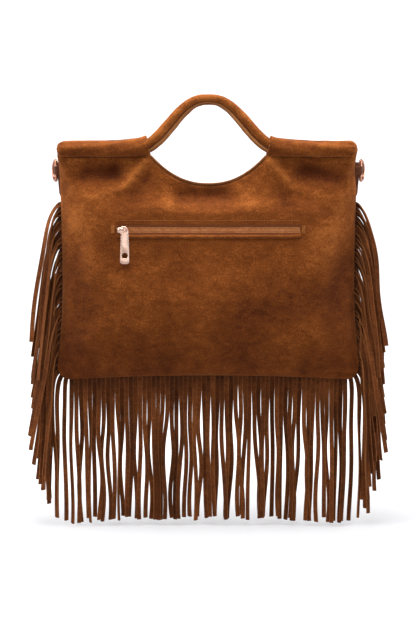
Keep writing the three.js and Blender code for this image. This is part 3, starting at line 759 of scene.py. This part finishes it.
def make_strand(root, end, first, soften, leans, length, layer, sway, twists, tone,
                curl=0.0009, late=0.006):
    """One strand. It starts at `first` radians below level and turns down over `soften` metres.

    leans are its lean just after the turn and its lean at the tip. twists are its turns about
    its own length just after the root and lower down. Below `late` metres it swings freely.
    """
    travelled = np.linspace(0, length, 121)
    early, tip_lean = leans
    final = math.pi / 2 - tip_lean - early * np.exp(-travelled / LEAN_LENGTH)
    angle = final - (final[0] - first) * np.exp(-travelled / soften)
    step = travelled[1]
    level = np.concatenate([[0], np.cumsum(np.cos(angle[1:]) * step)])
    fall = np.concatenate([[0], np.cumsum(np.sin(angle[1:]) * step)])
    phase, bends = chance.uniform(0, FULL_TURN), chance.uniform(0.7, 1.6)
    slant = chance.uniform(-0.0018, 0.0018)
    root_twist, low_twist = twists

    def bend(u, v):
        u = np.interp(u, np.linspace(0, 1, 5), STRAND_COLUMNS)
        v = 0.35 * v + 0.65 * v ** 1.5
        at = v * (length + slant * (u - 0.5) * smooth((v - 0.9) / 0.1))
        turned = np.interp(at, travelled, angle)
        loose = smooth((at - late) / 0.07)
        curling = np.sin(at * FULL_TURN / length * bends + phase)
        swing = sway * loose * (at / length) + curl * loose * curling
        relaxed = smooth((at - 0.016) / 0.06)
        twisted = root_twist * smooth((at - 0.001) / 0.009) * (1 - relaxed) + low_twist * relaxed
        half = (u - 0.5) * STRAND_WIDE * (1 - 0.08 * smooth((at - late) / 0.03))
        x = np.interp(at, travelled, level) + half * np.cos(twisted) * np.sin(turned)
        z = -np.interp(at, travelled, fall) + half * np.cos(twisted) * np.cos(turned)
        y = layer * smooth((at - 0.003) / 0.03) + half * np.sin(twisted)
        y = y + 0.0008 * loose * np.sin(at * 40 + phase)
        return root[0] + end * (x + swing), root[1] + y, root[2] + z

    piece = cut_sheet("strand", 4, STRAND_STEPS, bend)
    down = points_of(piece)[:, 2]
    in_shade = 0.7 * np.exp(-np.maximum(0, root[2] - down) / 0.006)
    note(piece, "fold", np.clip(tone + 0.15 * np.sin(down * 55 + phase) - in_shade, -0.5, 1))
    rims = np.tile([0.35, 0.05, 0, 0.05, 0.35], STRAND_STEPS + 1)
    note(piece, "edge", rims)
    return piece


def finish_fringe(strands, name):
    piece = join(strands, name)
    modify(piece, "SOLIDIFY", thickness=STRAND_THICK, offset=0, material_offset_rim=1)
    dress(piece, "bag", [fringe_suede, cut_edge], [name.replace("_suede", "")])
    return piece


# %% [markdown]
# At the sides the upper strands fall over the lower ones and are pushed further out, which
# gives the fringe its stepped outline. Every third strand reaches that outline, and chance
# leaves the others inside it. Three more go round the bottom corner. All of them could be
# copies of one strand, but then the steps would look like a comb.

# %% Side fringes
SIDE_TOP, SIDE_PITCH, SIDE_COUNT = -0.109, 0.00495, 37
STRAND_LONG = 0.1625
CORNER_COUNT = 3
UPPER_COUNT = 9  # strands that all hang near the outline
TIP_REACH, TIP_DRAWN_IN = 0.0368, 0.027  # how far out the tips hang, and how much less low down


def side_fringe(name, end):
    strands = []
    for order in range(SIDE_COUNT):
        z = SIDE_TOP - order * SIDE_PITCH
        share = order / (SIDE_COUNT - 1)
        most = TIP_REACH + 0.003 * min(1, 2 * share) - TIP_DRAWN_IN * max(0, 2 * share - 1) ** 3
        outermost = order % 3 == 0
        least = 0.82 if order < UPPER_COUNT else 0.5
        tip = most * (1 if outermost else chance.uniform(least, 1.0))
        soften = chance.uniform(0.0058, 0.0078) + 0.0028 * (1 - share) ** 3
        early = 0.22 * tip / TIP_REACH * (1 - 0.6 * share)
        tip_lean = max(-0.02, (tip - 1.2 * soften - LEAN_LENGTH * early) / STRAND_LONG)
        layer = ((order * 5) % 8 - 3.5) * 0.0026 + chance.uniform(-0.0012, 0.0012)
        sign = chance.choice((-1, 1))
        strands.append(make_strand(
            (end * (float(half_width(z)) - 0.0025), 0, z), end, chance.uniform(-0.15, 0.1), soften,
            (early, tip_lean), STRAND_LONG + chance.uniform(-0.004, 0.004), layer,
            chance.uniform(-0.0005, 0.0015) if outermost else chance.uniform(-0.003, 0.002),
            (sign * chance.uniform(0.9, 1.4), sign * chance.uniform(0.1, 1.1)),
            chance.uniform(0.2, 0.8), curl=chance.uniform(0.0004, 0.0016)))
    side = float(half_width(FOOT_Z))
    for order in range(CORNER_COUNT):
        turn = (order + 0.7) / (CORNER_COUNT + 0.4) * math.pi / 2
        reach = CORNER - 0.002
        root = (end * (side - CORNER + reach * math.cos(turn)), 0,
                FOOT_Z - FOOT_DROP + CORNER - reach * math.sin(turn))
        strands.append(make_strand(root, end, turn, 0.009, (0.02, chance.uniform(-0.03, 0.01)), STRAND_LONG,
                                   (order - 1) * 0.003, chance.uniform(-0.002, 0.002),
                                   (chance.uniform(-0.6, 0.6), chance.uniform(-1, 1)),
                                   chance.uniform(0.25, 0.7)))
    return finish_fringe(strands, name)


left_fringe = side_fringe("left_fringe_suede", -1)
right_fringe = side_fringe("right_fringe_suede", 1)

# %% [markdown]
# Along the bottom the strands hang straight down. Suede clings to suede, so they drift
# together in groups of one to four, with daylight between the groups. Even spacing with
# a random sway for each strand would be simpler, but strands would cross too often.

# %% Bottom fringe
BOTTOM_COUNT, BOTTOM_HALF = 61, 0.151


def bottom_fringe(name):
    roots = [BOTTOM_HALF * (2 * order / (BOTTOM_COUNT - 1) - 1) for order in range(BOTTOM_COUNT)]
    strands, first = [], 0
    while first < BOTTOM_COUNT:
        group = roots[first:first + int(chance.choice((1, 2, 2, 2, 3, 3, 4)))]
        middle = sum(group) / len(group) + chance.uniform(-0.0028, 0.0028)
        closing = chance.uniform(0.2, 0.65)
        late = chance.uniform(0.008, 0.03)
        for order, x in enumerate(group, first):
            sway = (middle - x) * closing + chance.uniform(-0.0018, 0.0018)
            most_twist = 0.5 if chance.uniform() < 0.75 else 1.2
            low_twist = chance.uniform(-most_twist, most_twist)
            strands.append(make_strand(
                (x, 0, float(bottom_edge(x)) + 0.003), 1, math.pi / 2, 0.02,
                (0, chance.uniform(-0.006, 0.006)),
                STRAND_LONG + chance.uniform(-0.003, 0.003),
                (order % 3 - 1) * 0.0024 + chance.uniform(-0.0008, 0.0008), sway,
                (0, low_twist), chance.uniform(0.2, 0.75), curl=chance.uniform(0.0004, 0.0024), late=late))
        first += len(group)
    return finish_fringe(strands, name)


low_fringe = bottom_fringe("bottom_fringe_suede")

# %% [markdown]
# The zip is a closed nylon coil on woven tape, seen in a slot in the panel. One tooth is a
# small flat loop. It is modelled once and copied along each side, half a pitch apart, so
# that the two rows mesh along the middle. An array modifier would repeat it as well, and
# a loop says the same in numbers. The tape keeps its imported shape.

# %% Zip coil
TOOTH_PITCH = 0.00125
TOOTH_SIZE = (0.00046, 0.00095, 0.00026)
TOOTH_DEEP, TOOTH_TALL = 1.7, 1.45  # how far the flat loop is drawn out
ROW_UP = 0.00145  # from the middle of the zip to the middle of a row


def make_coil(name, up):
    low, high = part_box(f"{name}_zip_coil")
    centre_y = (low.y + high.y) / 2
    bpy.ops.object.select_all(action="DESELECT")
    bpy.ops.mesh.primitive_torus_add(major_segments=12, minor_segments=6, major_radius=1, minor_radius=0.32)
    tooth = bpy.context.object
    shape = points_of(tooth) * TOOTH_SIZE
    count = int((high.x - low.x) / TOOTH_PITCH)
    copies = []
    for index in range(count):
        copy = tooth.copy()
        copy.data = tooth.data.copy()
        bpy.context.scene.collection.objects.link(copy)
        x = low.x + (index + 0.75 - 0.25 * up) * TOOTH_PITCH
        y = shape[:, 2] * TOOTH_DEEP + centre_y
        z = shape[:, 1] * TOOTH_TALL + ZIP_Z + up * ROW_UP
        move_points(copy, np.stack([shape[:, 0] + x, y, z], axis=1))
        copies.append(copy)
    bpy.data.objects.remove(tooth)
    coil = join(copies, f"{name}_coil_nylon")
    face_outwards(coil)
    return coil


for name, up in (("upper", 1), ("lower", -1)):
    dress(make_coil(name, up), "bag", nylon, [f"{name}_zip_coil"])
    repaint(f"{name}_zip_tape", tape_cloth)

# %% [markdown]
# The edge of the slot below the zip is rolled over a strip of suede. It lifts a little at
# its ends, where it is caught in the bar tacks. A box with rounded edges would be near
# enough in size, but a rolled grid has the slight unevenness of a turned edge.

# %% Pocket welt
welt_low, welt_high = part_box("pocket_welt")
WELT_DEEP, WELT_TALL = 0.00125, 0.0014  # from its middle line to its outside


def welt_bend(u, v):
    x = welt_low.x + (welt_high.x - welt_low.x) * u
    angle = 2 * math.pi * v
    lift = 0.0009 * smooth((np.abs(x) - 0.088) / 0.012)
    wave = 0.00012 * waves(x, v * 0.01, 0.02, 51)
    y = (welt_low.y + welt_high.y) / 2 - (WELT_DEEP + wave) * np.sin(angle)
    z = (welt_low.z + welt_high.z) / 2 + lift + (WELT_TALL + wave) * np.cos(angle)
    return x, y, z


welt = cut_sheet("pocket_welt_suede", 120, 16, welt_bend)
note(welt, "fold", np.full(len(welt.data.vertices), 0.62))
weld(welt)
modify(welt, "SOLIDIFY", thickness=0.0006, offset=-1)
dress(welt, "bag", suede, ["pocket_welt"])

# %% [markdown]
# Metal pieces are drawn as a flat outline with its holes, filled, given a thickness and
# a rounded edge, as if stamped and tumbled, or as a bent wire. Boolean cuts in a plate
# would need their edges rounded afterwards, and a curve does both in one.

# %% Helpers for metal and thread
def as_mesh(piece):
    only(piece)
    bpy.ops.object.convert(target="MESH")
    piece = bpy.context.object
    weld(piece, 0.000005)
    face_outwards(piece)
    return piece


def new_curve(name, loops, dimensions, closed=True):
    data = bpy.data.curves.new(name, "CURVE")
    data.dimensions = dimensions
    for loop in loops:
        spline = data.splines.new("POLY")
        spline.points.add(len(loop) - 1)
        for spot, place in zip(spline.points, loop):
            spot.co = (*place, *([0] * (3 - len(place))), 1)
        spline.use_cyclic_u = closed
    piece = bpy.data.objects.new(name, data)
    bpy.context.scene.collection.objects.link(piece)
    return piece


def stamped(name, loops, thickness, rounding, y):
    """A plate from outlines in x and z. y is the middle of its thickness."""
    piece = new_curve(name, loops, "2D")
    piece.data.fill_mode = "BOTH"
    piece.data.extrude = thickness / 2 - rounding
    piece.data.bevel_depth = rounding
    piece.data.bevel_resolution = 3
    piece.data.offset = -rounding
    piece = as_mesh(piece)
    p = points_of(piece)
    move_points(piece, np.stack([p[:, 0], y - p[:, 2], p[:, 1]], axis=1))
    return piece


def wire(name, places, radius, closed=True, fine=3):
    piece = new_curve(name, [places], "3D", closed)
    piece.data.bevel_depth = radius
    piece.data.bevel_resolution = fine
    piece.data.use_fill_caps = not closed
    return as_mesh(piece)


def arc(centre, radius, start, stop, steps):
    turns = np.radians(np.linspace(start, stop, steps))
    return [(centre[0] + radius * math.cos(t), centre[1] + radius * math.sin(t)) for t in turns]


# %% [markdown]
# The slider is a plate that rides over the coil, with a bridge on top. Its bridge could be
# plain wire, but a real one is a stamped strip: it widens along its crown, and is slim
# below that where the puller's eye turns round it. The puller hangs on it by its eye,
# widens towards a rounded foot and has a round hole near its end.

# %% Slider and puller
slider_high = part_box("zip_slider")[1]
puller_low, puller_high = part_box("zip_puller")
pivot_x = (puller_low.x + puller_high.x) / 2
slider_x = pivot_x - 0.003
PLATE_Y = -ZIP_DEPTH - 0.0005
NOSE_RADIUS, TAIL_RADIUS, TAIL_HALF = 0.0044, 0.0016, 0.0012
BRIDGE_WIRE, POST_WIDE, CROWN_WIDER = 0.00085, 1.4, 1.4
CROWN_FROM, CROWN_RISE = 0.0023, 0.001  # it widens this far above the plate
EYE_RADIUS, HOLE_RADIUS = 0.0023, 0.0031
FOOT_ROUND = 0.0034

tail_x = slider_x - 0.0036
plate_outline = (arc((slider_x + 0.001, ZIP_Z), NOSE_RADIUS, -90, 90, 25)
                 + arc((tail_x, ZIP_Z + TAIL_HALF), TAIL_RADIUS, 90, 180, 7)
                 + arc((tail_x, ZIP_Z - TAIL_HALF), TAIL_RADIUS, 180, 270, 7))
plate = stamped("plate", [plate_outline], 0.0012, 0.0004, PLATE_Y)
back_plate_y = slider_high.y - 0.0005
rim = stamped("rim", [plate_outline], 0.0010, 0.0003, back_plate_y)
bridge_half = 0.0036
bridge_places = [(pivot_x - bridge_half + bridge_half * math.cos(t),
                  PLATE_Y - 0.0002 - 0.0031 * math.sin(t) ** 0.7, ZIP_Z)
                 for t in np.linspace(0.02, math.pi - 0.02, 21)]
bridge = wire("bridge", bridge_places, BRIDGE_WIRE, closed=False, fine=6)
bridge_points = points_of(bridge)
risen = smooth((PLATE_Y - bridge_points[:, 1] - CROWN_FROM) / CROWN_RISE)
bridge_points[:, 2] = ZIP_Z + (bridge_points[:, 2] - ZIP_Z) * (POST_WIDE + CROWN_WIDER * risen)
move_points(bridge, bridge_points)
web_places = [(slider_x, PLATE_Y, ZIP_Z), (slider_x, back_plate_y, ZIP_Z)]
web = wire("web", web_places, 0.0005, closed=False)
slider = join([plate, rim, bridge, web], "zip_slider_metal")
dress(slider, "zip_slider", rose_gold, ["zip_slider"])

foot_z = puller_low.z + FOOT_ROUND
puller_outline = (arc((pivot_x, ZIP_Z), 0.004, 20, 160, 19)
                  + [(pivot_x - 0.0040, ZIP_Z - 0.004), (pivot_x - 0.0048, ZIP_Z - 0.016)]
                  + arc((pivot_x - 0.0054 + FOOT_ROUND, foot_z), FOOT_ROUND, 180, 270, 16)
                  + arc((pivot_x + 0.0050 - FOOT_ROUND, foot_z), FOOT_ROUND, 270, 360, 16)
                  + [(pivot_x + 0.0047, ZIP_Z - 0.016), (pivot_x + 0.0042, ZIP_Z - 0.004)])
eye = arc((pivot_x, ZIP_Z - 0.0002), EYE_RADIUS, 0, 345, 24)[::-1]
hole = arc((pivot_x, ZIP_Z - 0.0274), HOLE_RADIUS, 0, 350, 30)[::-1]
puller_y = (puller_low.y + puller_high.y) / 2
puller = stamped("zip_puller_metal", [puller_outline, eye, hole], 0.0014, 0.00045, puller_y)
dress(puller, "zip_puller", rose_gold, ["zip_puller"])

# %% [markdown]
# A bar tack is a short dense zigzag of golden thread that stops the slot tearing. Rows of
# single stitches hold the sleeves, along the groove below them, and the turned neckline,
# both in dark thread, and the facing above the zip in brown. A pattern in the material
# could draw them, but short wires catch the light and lie in the folds.

# %% Stitches
TACK_ROWS = 10
STITCH, STITCH_STEP = 0.0024, 0.0033
TACK_RADIUS, STITCH_RADIUS = 0.00026, 0.00034
SLEEVE_GROOVE = 0.0036  # from the shoulder down to the stitches

for name in ("left", "right"):
    low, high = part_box(f"{name}_bar_tack")
    zigzag = []
    for row in range(TACK_ROWS):
        z = low.z + (high.z - low.z) * (row + 0.5) / TACK_ROWS
        ends = [low.x + 0.0008, high.x - 0.0008]
        for x in np.linspace(*(ends if row % 2 else ends[::-1]), 5):
            arch = 0.0002 * (1 - ((x - (low.x + high.x) / 2) / (high.x - low.x) * 2) ** 2)
            zigzag.append((x, high.y - 0.00015 - arch, z))
    tack = wire(f"{name}_bar_tack_thread", zigzag, TACK_RADIUS, closed=False, fine=1)
    dress(tack, "bag", thread_golden, [f"{name}_bar_tack"])


def on_panel(side, x, z):
    """A point on a panel's face, a little proud of it."""
    place = np.array([x * -side]), np.array([z])
    y = float(depth(*place)[0] + folds(*place, 1 if side < 0 else 4)[0])
    return np.array([x, side * (y + 0.0001), z])


def stitch_row(name, side, path, thread):
    """Short threads along a path of x and z, each with its ends in the hide."""
    path = np.array(path)
    lengths = np.concatenate([[0], np.cumsum(np.hypot(*np.diff(path, axis=0).T))])
    pieces = []
    for start in np.arange(0, lengths[-1] - STITCH, STITCH_STEP):
        places = []
        for share in (0, 0.2, 0.5, 0.8, 1):
            at = start + STITCH * share
            x, z = [np.interp(at, lengths, path[:, axis]) for axis in (0, 1)]
            place = on_panel(side, x, z)
            place[1] -= side * (0.0003 if share in (0, 1) else 0)
            places.append(tuple(place))
        pieces.append(wire("stitch", places, STITCH_RADIUS, closed=False, fine=1))
    dress(join(pieces, name), "bag", thread)


for name, side in (("back", -1), ("front", 1)):
    for place, end in (("left", -1), ("right", 1)):
        row = [(end * x, SHOULDER_Z - SLEEVE_GROOVE)
               for x in (SLEEVE_INNER + 0.002, SLEEVE_ENDS[side, end] - 0.005)]
        stitch_row(f"{name}_{place}_sleeve_stitches", side, row, thread_dark)
    neckline = [(x, float(top_edge(x)) - NECK_SEAM)
                for x in np.linspace(-NECK_HALF + 0.001, NECK_HALF - 0.001, 60)]
    stitch_row(f"{name}_neckline_stitches", side, neckline, thread_dark)
facing = [(-WINDOW_HALF, WINDOW_TOP + 0.0048), (WINDOW_HALF, WINDOW_TOP + 0.0048)]
stitch_row("zip_facing_stitches", -1, facing, thread_brown)

# %% [markdown]
# A strap ring is a D bent from wire. Its straight bar lies in a folded tab of dark
# leather, which is sewn into the side seam above the fringe. A torus with one side pushed
# flat would be quicker, but its bar would be too thick at the corners. The tab is two
# grids: a loop round the bar, and a leaf that runs down beside the seam.

# %% Strap rings and tabs
RING_WIRE, RING_TALL, RING_DEEP, RING_Z = 0.0015, 0.022, 0.0165, -0.073
RING_TURN = math.radians(72)
BAR_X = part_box("right_ring_tab")[1].x - 0.0036
RING_CORNER, RING_SHANK = 0.0022, 0.005  # where the bar ends, and where the bow begins
TAB_RADIUS, TAB_TALL = 0.0029, 0.0095
LEAF_TOP_Z, LEAF_TALL, LEAF_OUT, LEAF_IN = -0.064, 0.037, 0.0030, 0.005


def make_ring(name, end):
    def place(out, z):
        return end * (BAR_X + out * math.cos(RING_TURN)), out * math.sin(RING_TURN), RING_Z + z

    half = RING_TALL / 2
    bow = [place(RING_SHANK + (RING_DEEP - RING_SHANK) * math.cos(t), half * math.sin(t))
           for t in np.linspace(math.pi / 2, -math.pi / 2, 33)]
    corner = RING_CORNER
    turns = np.linspace(0, math.pi / 2, 7)
    low_corner = [place(corner - corner * math.sin(t), -half + corner - corner * math.cos(t))
                  for t in turns]
    high_corner = [place(corner - corner * math.cos(t), half - corner + corner * math.sin(t))
                   for t in turns]
    return wire(name, bow + low_corner + high_corner, RING_WIRE, fine=5)


def make_tab(name, end):
    seam_x = float(half_width(RING_Z))

    def loop_bend(u, v):
        """u runs from the seam round the bar and back to the seam, v upwards."""
        turn = np.interp(u, [0.25, 0.75], [-math.pi / 2, math.pi / 2])
        pull = np.clip((np.abs(u - 0.5) - 0.25) / 0.25, 0, 1)
        x = BAR_X + TAB_RADIUS * np.cos(turn) - pull * (BAR_X - seam_x + 0.004)
        y = TAB_RADIUS * np.sin(turn) * (1 - 0.55 * smooth(pull * 1.3))
        return end * x, y, RING_Z + TAB_TALL * (v - 0.5) * (1 - 0.04 * pull)

    def leaf_bend(u, v):
        z = LEAF_TOP_Z - LEAF_TALL * v
        out = LEAF_OUT * (1 - 0.55 * v) * np.where(v > 0.9, np.sqrt(np.clip((1 - v) / 0.1, 0, 1)), 1)
        x = half_width(z) - LEAF_IN + (LEAF_IN + out) * u
        return end * x, np.full_like(x, 0.0006), z

    flip = (lambda bend: bend) if end > 0 else (lambda bend: lambda u, v: bend(1 - u, v))
    loop = cut_sheet("loop", 40, 10, flip(loop_bend))
    thicken(loop, 0.0011, rounding=0.0003)
    leaf = cut_sheet("leaf", 8, 40, flip(leaf_bend))
    thicken(leaf, 0.0012, rounding=0.0003)
    for piece in (loop, leaf):
        face_outwards(piece)
    return join([loop, leaf], name)


for name, end in (("left", -1), ("right", 1)):
    ring = make_ring(f"{name}_ring_metal", end)
    dress(ring, f"{name}_ring", rose_gold_shaded, [f"{name}_strap_ring"])
    tab = make_tab(f"{name}_tab_leather", end)
    dress(tab, "bag", tab_leather, [f"{name}_ring_tab"])

# %% [markdown]
# The pocket bag and the snap are real pieces of the bag, but nothing shows them when it
# is closed. They could be modelled again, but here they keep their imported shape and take
# the finish of the real ones.

# %% Hidden pieces
for name, material in (("pocket_bag", lining_cloth), ("snap_stud", steel), ("snap_socket", steel)):
    repaint(name, material)
    print(name, "is", material.name)

# %% [markdown]
# The bag hangs in a white sweep: a round floor that turns up into a wall all round, so
# that the metal has white to reflect on every side. The sweep glows, more behind the bag
# than in front of it. A soft light hangs above and a little to the left, one on each side
# lights the fringe, and a weak one far in front brightens the puller. A plain white world
# would be simpler, but it throws no shadow under the fringe.

# %% Stage and light
FLOOR_RUN, TURN_RUN, SWEEP_RUN = 2.0, 1.2, 6.6  # out from under the bag, then up the wall
FLOOR_Z = min(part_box(f"{place}_fringe")[0].z for place in ("left", "bottom")) - 0.006


def sweep_bend(u, v):
    run = SWEEP_RUN * v
    turn = np.clip((run - FLOOR_RUN) / TURN_RUN, 0, 1) * math.pi / 2
    radius = TURN_RUN / (math.pi / 2)
    out = np.where(run < FLOOR_RUN, run, FLOOR_RUN + radius * np.sin(turn))
    risen = radius * (1 - np.cos(turn)) + np.maximum(0, run - (FLOOR_RUN + TURN_RUN))
    z = np.where(run < FLOOR_RUN, 0, risen)
    return out * np.cos(2 * math.pi * u), out * np.sin(2 * math.pi * u), FLOOR_Z + z


sweep = cut_sheet("sweep", 64, 66, sweep_bend)
weld(sweep)
white = new_material("paper_sweep_white")
sweep_place = node(white, "ShaderNodeTexCoord")
sweep_axes = node(white, "ShaderNodeSeparateXYZ", links={"Vector": (sweep_place, "Object")})
front_glow, back_glow = [
    node(white, "ShaderNodeMapRange", links={"Value": (sweep_axes, "Y")},
         From_Min=start, From_Max=stop, To_Min=low, To_Max=high)
    for start, stop, low, high in ((-1.9, -0.9, 0.12, 0.26), (0.0, 0.6, 0.0, 0.62))]
glow = node(white, "ShaderNodeMath", {"operation": "ADD"},
            {0: (front_glow, "Result"), 1: (back_glow, "Result")})
surface = node(white, "ShaderNodeBsdfPrincipled", links={"Emission Strength": (glow, "Value")},
               Base_Color=colour("#A4A4A6"), Roughness=0.9, Emission_Color=colour("#FFFFFF"))
finish_material(white, surface)
sweep.data.materials.append(white)


LIGHT_SIZE = 0.7


def soft_light(name, place, target, watts):
    data = bpy.data.lights.new(name, "AREA")
    data.size = LIGHT_SIZE
    data.energy = watts
    lamp = bpy.data.objects.new(name, data)
    bpy.context.scene.collection.objects.link(lamp)
    lamp.location = place
    lamp.rotation_euler = (Vector(target) - Vector(place)).to_track_quat("-Z", "Y").to_euler()
    print(name, watts, "W")


soft_light("overhead", (-0.10, -0.19, 0.74), (0, 0, -0.2), 25)
soft_light("front_card", (-0.23, -2.3, -0.2), (-0.09, 0, -0.15), 1.6)
soft_light("left_side", (-1.3, 0.0, 0.2), (0, 0, -0.2), 11)
soft_light("right_side", (1.3, 0.0, 0.2), (0, 0, -0.2), 11)

world = bpy.data.worlds.new("studio")
bpy.context.scene.world = world
world.use_nodes = True
world.node_tree.nodes["Background"].inputs["Color"].default_value = colour("#FFFFFF")
world.node_tree.nodes["Background"].inputs["Strength"].default_value = 0.03
bpy.context.scene.view_settings.view_transform = "Standard"
